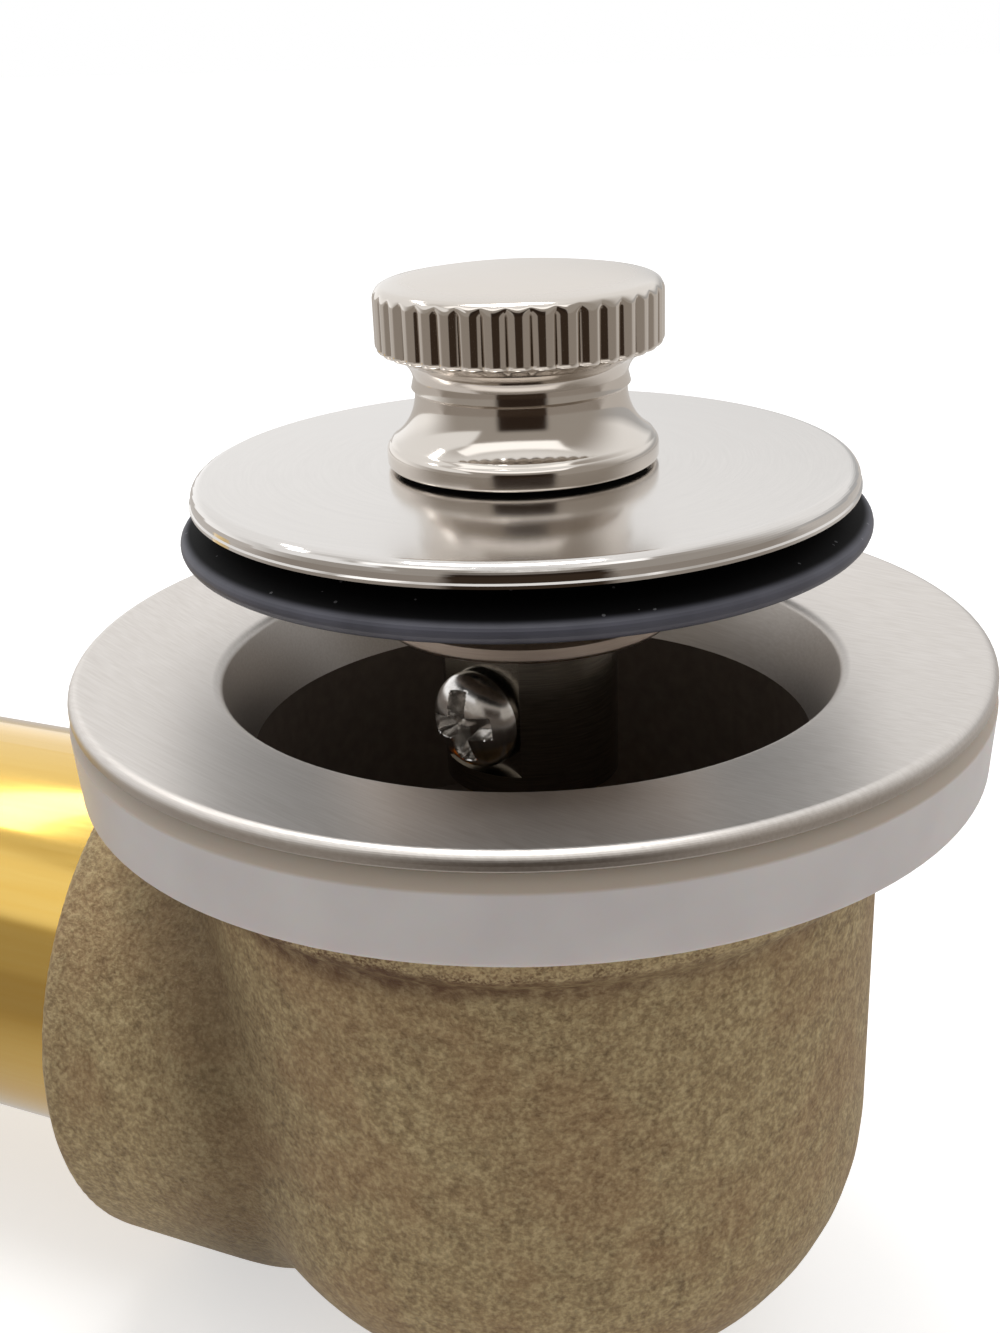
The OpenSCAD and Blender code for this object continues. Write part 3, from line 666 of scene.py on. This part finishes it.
def knob_profile():
    """Radius and height of the knob above its foot, from the stud's hole round the foot, the cove,
    the step, the flare and the band to the middle of the dome, which is a parabola. The cove is
    an arc of radius (h ^ 2 + w ^ 2) / 2 w, where w is its width and h its height."""
    cove_w, cove_h = COVE_MM
    cove_r = (cove_h ** 2 + cove_w ** 2) / (2 * cove_w)
    cove_end = math.degrees(math.asin(cove_h / cove_r))
    foot_out, foot_up, foot_round = FOOT_ROUND_MM
    bead_out, bead_up, bead_round = BEAD_ROUND_MM
    flare_up, flare_r = FLARE_MM
    rim = arc(KNOB_R_MM - RIM_ROUND_MM, EDGE_MM, RIM_ROUND_MM, 0, 76, 12)
    share = np.linspace(0, 1, 16)[1:, None]
    dome = np.hstack((rim[-1, 0] * (1 - share),
                      rim[-1, 1] + (TOP_MM - rim[-1, 1]) * (1 - (1 - share) ** 2)))
    return np.vstack((
        [[STUD_HOLE_MM, BAND_MM], [STUD_HOLE_MM, 0]],
        arc(NECK_R_MM + foot_out, foot_up, foot_round, -90, 0, 6),
        arc(NECK_R_MM + bead_out, bead_up, bead_round, 0, 55, 10),
        arc(NECK_R_MM + cove_r, WAIST_MM, cove_r, cove_end - 180, -180, 18),
        [[NECK_R_MM, STEP_MM], [NECK_R_MM + STEP_OUT_MM, STEP_MM + STEP_OUT_MM]],
        arc(KNOB_R_MM - BAND_ROUND_MM, STEP_MM + flare_up, flare_r, 172, 114, 14),
        [[KNOB_R_MM - BAND_ROUND_MM, BAND_MM]],
        arc(KNOB_R_MM - BAND_ROUND_MM, BAND_MM + BAND_ROUND_MM, BAND_ROUND_MM, -90, 0, 8),
        rim, dome))


def closed_surface(name, points, stand_in, body):
    """Object of a grid of points in metres, whose columns close into rings. It rides on a body,
    stands for a CAD node and takes that node's material."""
    rows, columns = points.shape[:2]
    here = np.arange((rows - 1) * columns).reshape(rows - 1, columns)
    beside = np.roll(here, -1, axis=1)
    faces = np.dstack((here, beside, beside + columns, here + columns)).reshape(-1, 4)
    mesh = bpy.data.meshes.new(name)
    mesh.from_pydata(points.reshape(-1, 3).tolist(), [], faces.tolist())
    mesh.polygons.foreach_set("use_smooth", [True] * len(mesh.polygons))
    mesh.set_sharp_from_angle(angle=math.radians(SHARP_DEG))
    piece = bpy.data.objects.new(name, mesh)
    bpy.context.scene.collection.objects.link(piece)
    mesh.materials.append(nodes[stand_in].data.materials[0])
    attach(piece, body)
    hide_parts(stand_in)


def make_knob():
    """The knob as a surface of angle and profile. A flute's plan is a row of circles on the band's
    edge, and each point moves in by that plan's depth times a share, which is 1 along the band
    and falls smoothly to 0 round the band's upper edge."""
    profile = knob_profile()
    radius, height = profile[:, 0], profile[:, 1]
    columns = FLUTES * COLUMNS_A_FLUTE
    angle = np.arange(columns) * 2 * math.pi / columns
    pitch = 2 * math.pi / FLUTES
    from_crest = (angle + pitch / 2) % pitch - pitch / 2
    middle = KNOB_R_MM - CREST_R_MM
    plan = middle * np.cos(from_crest) + np.sqrt(CREST_R_MM ** 2
                                                 - (middle * np.sin(from_crest)) ** 2)
    ends, over = RUN_OUT_MM
    run = np.clip((EDGE_MM + ends - height) / over, 0, 1)
    share = run * run * (3 - 2 * run) * (height > BAND_MM - 0.01) * (radius > KNOB_R_MM - 2)
    reach = radius[:, None] - share[:, None] * (KNOB_R_MM - plan)[None, :]
    lift = np.broadcast_to(height[:, None] * MM + knob_low[2], reach.shape)
    points = np.dstack((reach * np.cos(angle) * MM, reach * np.sin(angle) * MM, lift))
    closed_surface("knob_surface", points, "knob", "stopper")


make_knob()


# The guide screw, whose round head a plain CAD recess doesn't show well

# Where the screw stands round the drain's axis, and its shank as pairs of radius and distance
# from the drain's axis
SCREW_ROUND_DEG = -106.0
SHANK_MM = ((0, 3.2), (1.3, 3.2), (1.3, 4.85), (1.75, 5.15), (1.75, 5.95), (3.2, 5.95),
            (3.3, 6.5), (3.85, 6.5), (3.95, 6.6))
HEAD_R_MM = 3.95
HEAD_FOOT_MM = 6.7
HEAD_TALL_MM = 2.5
SCREW_COLUMNS = 144

# The cross: its turn, half the width and the length of an arm with the blend of each, its depth
CROSS_TURN_DEG = 8
ARM_HALF_MM = (0.85, 0.25)
ARM_REACH_MM = (2.9, 0.7)
CROSS_DEEP_MM = 1.9


def make_screw():
    """Pan head screw: a profile round an axis that leaves the drain's axis at right angles. The
    head is a quarter ellipse, sunk by a cross whose arms are smooth steps across and along."""
    turned = np.radians(np.linspace(0, 90, 40))
    profile = np.vstack((SHANK_MM, np.column_stack((
        HEAD_R_MM * np.cos(turned), HEAD_FOOT_MM + HEAD_TALL_MM * np.sin(turned)))))
    angle = np.arange(SCREW_COLUMNS) * 2 * math.pi / SCREW_COLUMNS
    wide = profile[:, 0][:, None] * np.cos(angle)
    tall = profile[:, 0][:, None] * np.sin(angle)
    tilt = math.radians(CROSS_TURN_DEG)
    one = wide * math.cos(tilt) + tall * math.sin(tilt)
    other = tall * math.cos(tilt) - wide * math.sin(tilt)
    half, half_blend = ARM_HALF_MM
    long, long_blend = ARM_REACH_MM
    arms = [np.clip((half - abs(a)) / half_blend, 0, 1)
            * np.clip((long - abs(b)) / long_blend, 0, 1)
            for a, b in ((one, other), (other, one))]
    head = (np.arange(len(profile)) >= len(SHANK_MM))[:, None]
    out = profile[:, 1][:, None] - CROSS_DEEP_MM * np.maximum(*arms) * head
    low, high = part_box("guide_screw")
    round_z = math.radians(SCREW_ROUND_DEG)
    x = out * math.cos(round_z) - wide * math.sin(round_z)
    y = out * math.sin(round_z) + wide * math.cos(round_z)
    z = tall + (low[2] + high[2]) / 2 / MM
    closed_surface("screw_surface", np.dstack((x, y, z)) * MM, "guide_screw", "stopper")


make_screw()


# Camera, from a fit of the drain's round edges to the photograph. The focal length is in pixels
# of a picture that is 1333 high

FRAME_H = 1333
CAMERA_BACK_MM = 123.0
CAMERA_UP_MM = 48.62
CAMERA_ROUND_DEG = 23.9
PAN_DEG = 1.143
TILT_DEG = 22.045
ROLL_DEG = -2.29
FOCAL_PX = 1630.2
SENSOR_MM = 36.0


def turn(axis, degrees):
    """Rotation matrix about an axis."""
    return Matrix.Rotation(math.radians(degrees), 3, axis)


def make_camera():
    """Camera behind the -Y side, turned round Z. The rows of roll x tilt x pan x swap are the
    picture's right, down and forward directions in the drain's frame."""
    swap = Matrix(((1, 0, 0), (0, 0, -1), (0, 1, 0)))
    rows = turn("Z", ROLL_DEG) @ turn("X", TILT_DEG) @ turn("Y", PAN_DEG) @ swap
    right, down, forward = (Vector(rows[i]) for i in range(3))
    facing = Matrix((right, -down, -forward)).transposed()
    round_axis = turn("Z", CAMERA_ROUND_DEG)
    data = bpy.data.cameras.new("camera")
    data.sensor_width = SENSOR_MM
    data.lens = FOCAL_PX / FRAME_H * SENSOR_MM
    data.clip_start = 0.005
    data.clip_end = 20
    camera = bpy.data.objects.new("camera", data)
    place = round_axis @ Vector((0, -CAMERA_BACK_MM * MM, CAMERA_UP_MM * MM))
    camera.matrix_world = Matrix.Translation(place) @ (round_axis @ facing).to_4x4()
    bpy.context.scene.collection.objects.link(camera)
    bpy.context.scene.camera = camera


make_camera()


# Light: a white room, grey on the camera's side with a dark wedge behind the camera, a softbox
# above and a long narrow one for the tube

TOWARDS = turn("Z", CAMERA_ROUND_DEG) @ Vector((0, -1, 0))
ACROSS = turn("Z", CAMERA_ROUND_DEG) @ Vector((1, 0, 0))
DARK_SLOPE = math.tan(math.radians(26))
WHITE = (1, 1, 1, 1)

# What mirrors see. Directions have length 1: height is 0 at the horizon and 1 overhead, across is
# -1 at the picture's left and 1 at its right, and reach is -1 behind the drain and 1 at the camera
GREY_FRONT = "A8A29B"
DARK_WEDGE = "30261F"
LONG_WINDOW_HEIGHT = (0.72, 0.85)
LONG_WINDOW_ACROSS = (-0.6, 0.45)
SIDE_WINDOW_HEIGHT = (0.42, 0.7)
SIDE_WINDOW_ACROSS = (-0.95, -0.68)
WINDOW_BLEND = 0.06
LONG_WINDOW_LIGHT = (1.5, 1.5, 1.5, 1)

# What dull surfaces get from the camera's side
DULL_FRONT = (0.22, 0.21, 0.2, 1)


def front_shares(tree, vector, soft):
    """Two numbers of a direction or place: how far it reaches towards the camera, and the share
    of the dark wedge there, which is 1 where reach x slope exceeds the sideways distance."""
    reach = add(tree, "VectorMath", {0: vector, 1: tuple(TOWARDS)}, operation="DOT_PRODUCT")
    side = add(tree, "VectorMath", {0: vector, 1: tuple(ACROSS)}, operation="DOT_PRODUCT")
    side = add(tree, "Math", {0: side}, operation="ABSOLUTE")
    room = add(tree, "Math", {0: reach, 1: DARK_SLOPE}, operation="MULTIPLY")
    room = add(tree, "Math", {0: room, 1: side}, operation="SUBTRACT")
    wedge = add(tree, "MapRange", {"Value": room, "From Min": -soft, "From Max": soft},
                interpolation_type="SMOOTHSTEP")
    return reach, wedge


def make_world():
    """White sky. What the camera sees is plain white. Mirrors see white behind the drain, brighter
    low on the left than on the right, a grey front with a long window high in it, a window at the
    left, and the dark wedge. The light on dull surfaces is lower, so that colours render about as
    they are written."""
    world = bpy.data.worlds.new("studio")
    bpy.context.scene.world = world
    world.use_nodes = True
    tree = world.node_tree
    tree.nodes.clear()
    path = add(tree, "LightPath").node.outputs
    direction = add(tree, "TexCoord").node.outputs["Generated"]
    reach, wedge = front_shares(tree, direction, 0.07)
    height = add(tree, "SeparateXYZ", {"Vector": direction}).node.outputs["Z"]
    across = add(tree, "VectorMath", {0: direction, 1: tuple(ACROSS)}, operation="DOT_PRODUCT")

    # The grey front, which ends under a white ceiling
    low = add(tree, "MapRange", {"Value": height, "From Min": 0.78, "From Max": 0.96,
                                 "To Min": 1.0, "To Max": 0.0}, interpolation_type="SMOOTHSTEP")
    front = add(tree, "MapRange", {"Value": reach, "From Min": -0.55, "From Max": 0.35},
                interpolation_type="SMOOTHSTEP")
    front = add(tree, "Math", {0: front, 1: low}, operation="MULTIPLY")

    # The dark wedge, which fades out between 21 and 30 degrees over the horizon
    dark = add(tree, "MapRange", {"Value": height, "From Min": 0.36, "From Max": 0.5,
                                  "To Min": 1.0, "To Max": 0.0}, interpolation_type="SMOOTHSTEP")
    dark = add(tree, "Math", {0: dark, 1: wedge}, operation="MULTIPLY")

    # Low behind the drain: brighter at the left, darker at the right
    horizon = add(tree, "MapRange", {"Value": height, "From Min": 0.12, "From Max": 0.3,
                                     "To Min": 1.0, "To Max": 0.0})
    shade = add(tree, "MapRange", {"Value": across, "From Min": -0.4, "From Max": 0.5,
                                   "To Min": 1.15, "To Max": 0.5}, interpolation_type="SMOOTHSTEP")
    behind = add(tree, "CombineXYZ", {"X": shade, "Y": shade, "Z": shade})
    behind = add(tree, "Mix", {"Factor": horizon, "A": WHITE, "B": behind}, data_type="RGBA")
    mirror_sky = add(tree, "Mix", {"Factor": front, "A": behind, "B": linear(GREY_FRONT)},
                     data_type="RGBA")

    # The long window, only ahead, and the window at the left
    high = belt(tree, height, *LONG_WINDOW_HEIGHT, 0.04)
    wide = belt(tree, across, *LONG_WINDOW_ACROSS, WINDOW_BLEND)
    ahead = add(tree, "Math", {0: reach, 1: 0.0}, operation="GREATER_THAN")
    long_window = add(tree, "Math", {0: high, 1: wide}, operation="MULTIPLY")
    long_window = add(tree, "Math", {0: long_window, 1: ahead}, operation="MULTIPLY")
    high = belt(tree, height, *SIDE_WINDOW_HEIGHT, WINDOW_BLEND)
    wide = belt(tree, across, *SIDE_WINDOW_ACROSS, WINDOW_BLEND)
    side_window = add(tree, "Math", {0: high, 1: wide}, operation="MULTIPLY")
    mirror_sky = add(tree, "Mix", {"Factor": side_window, "A": mirror_sky, "B": WHITE},
                     data_type="RGBA")
    mirror_sky = add(tree, "Mix", {"Factor": long_window, "A": mirror_sky,
                                   "B": LONG_WINDOW_LIGHT}, data_type="RGBA")
    mirror_sky = add(tree, "Mix", {"Factor": dark, "A": mirror_sky, "B": linear(DARK_WEDGE)},
                     data_type="RGBA")

    # The light on dull surfaces, and which rays see which sky
    facing = add(tree, "MapRange", {"Value": reach, "From Min": 0.05, "From Max": 0.85},
                 interpolation_type="SMOOTHSTEP")
    aside = add(tree, "MapRange", {"Value": across, "From Min": -0.7, "From Max": 0.7,
                                   "To Min": 0.7, "To Max": 0.95})
    aside = add(tree, "CombineXYZ", {"X": aside, "Y": aside, "Z": aside})
    dull_sky = add(tree, "Mix", {"Factor": facing, "A": aside, "B": DULL_FRONT},
                   data_type="RGBA")
    mirror = add(tree, "Math", {0: path["Is Glossy Ray"], 1: path["Is Transmission Ray"]},
                 operation="MAXIMUM")
    sky = add(tree, "Mix", {"Factor": mirror, "A": dull_sky, "B": mirror_sky}, data_type="RGBA")
    sky = add(tree, "Mix", {"Factor": path["Is Camera Ray"], "A": sky, "B": WHITE},
              data_type="RGBA")
    add(tree, "OutputWorld", {"Surface": add(tree, "Background", {"Color": sky})})


make_world()


# The table: its gap under the shoe, half its width in metres, and how strongly it glows for the
# camera
FLOOR_GAP_MM = 0.3
FLOOR_HALF = 3.0
CAMERA_GLOW = 0.55


def make_floor():
    """White table just under the shoe. It glows for the camera and for mirrors, so that it shows
    as white, and it still takes the object's shadow. Mirrors see it as a grey room: paler near
    the drain and behind it, and dark on the camera's side."""
    low = cad_low.z - FLOOR_GAP_MM * MM
    half = FLOOR_HALF
    mesh = bpy.data.meshes.new("floor")
    corners = [(-half, -half, low), (half, -half, low), (half, half, low), (-half, half, low)]
    mesh.from_pydata(corners, [], [(0, 1, 2, 3)])
    floor = bpy.data.objects.new("floor", mesh)
    bpy.context.scene.collection.objects.link(floor)
    material, tree, shader, place = new_material("white_table")
    path = add(tree, "LightPath").node.outputs
    mirror = add(tree, "Math", {0: path["Is Glossy Ray"], 1: path["Is Transmission Ray"]},
                 operation="MAXIMUM")
    reach, wedge = front_shares(tree, place, 0.02)
    radius = axis_place(tree, place)[0]
    away = add(tree, "MapRange", {"Value": radius, "From Min": 0.045, "From Max": 0.13},
               interpolation_type="SMOOTHSTEP")
    side = add(tree, "MapRange", {"Value": reach, "From Min": -0.1, "From Max": 0.05},
               interpolation_type="SMOOTHSTEP")
    dark = add(tree, "MapRange", {"Value": reach, "From Min": 0.09, "From Max": 0.15},
               interpolation_type="SMOOTHSTEP")
    dark = add(tree, "Math", {0: dark, 1: wedge}, operation="MULTIPLY")
    far = add(tree, "Mix", {"Factor": side, "A": linear("CCC7C2"), "B": linear("9A928A")},
              data_type="RGBA")
    tone = add(tree, "Mix", {"Factor": away, "A": linear("C4C0BC"), "B": far}, data_type="RGBA")
    tone = add(tree, "Mix", {"Factor": dark, "A": tone, "B": linear("3A2F26")}, data_type="RGBA")
    base = add(tree, "Mix", {"Factor": mirror, "A": linear("E8E8E8"), "B": linear("000000")},
               data_type="RGBA")
    glow = add(tree, "Mix", {"Factor": mirror, "A": WHITE, "B": tone}, data_type="RGBA")
    power = add(tree, "Math", {0: path["Is Camera Ray"], 1: CAMERA_GLOW, 2: mirror},
                operation="MULTIPLY_ADD")
    finish(tree, shader, Base_Color=base, Roughness=0.9, Specular_IOR_Level=0.0,
           Emission_Color=glow, Emission_Strength=power)
    mesh.materials.append(material)


make_floor()


# What the lamps face: a point 10 mm up the drain's axis
LIT = Vector((0, 0, 0.01))


def make_softbox(name, place_mm, width_mm, depth_mm, watts):
    """Soft lamp that faces the stopper, and which the camera doesn't see."""
    data = bpy.data.lights.new(name, "AREA")
    data.shape = "RECTANGLE"
    data.size = width_mm * MM
    data.size_y = depth_mm * MM
    data.energy = watts
    lamp = bpy.data.objects.new(name, data)
    place = Vector(place_mm) * MM
    facing = (place - LIT).to_track_quat("Z", "Y").to_matrix().to_4x4()
    lamp.matrix_world = Matrix.Translation(place) @ facing
    lamp.visible_camera = False
    bpy.context.scene.collection.objects.link(lamp)


make_softbox("top_softbox", (-60, 40, 520), 260, 200, 1.1)
make_softbox("tube_softbox", (-460, 75, 500), 340, 50, 0.2)

bpy.context.scene.view_settings.view_transform = "Standard"
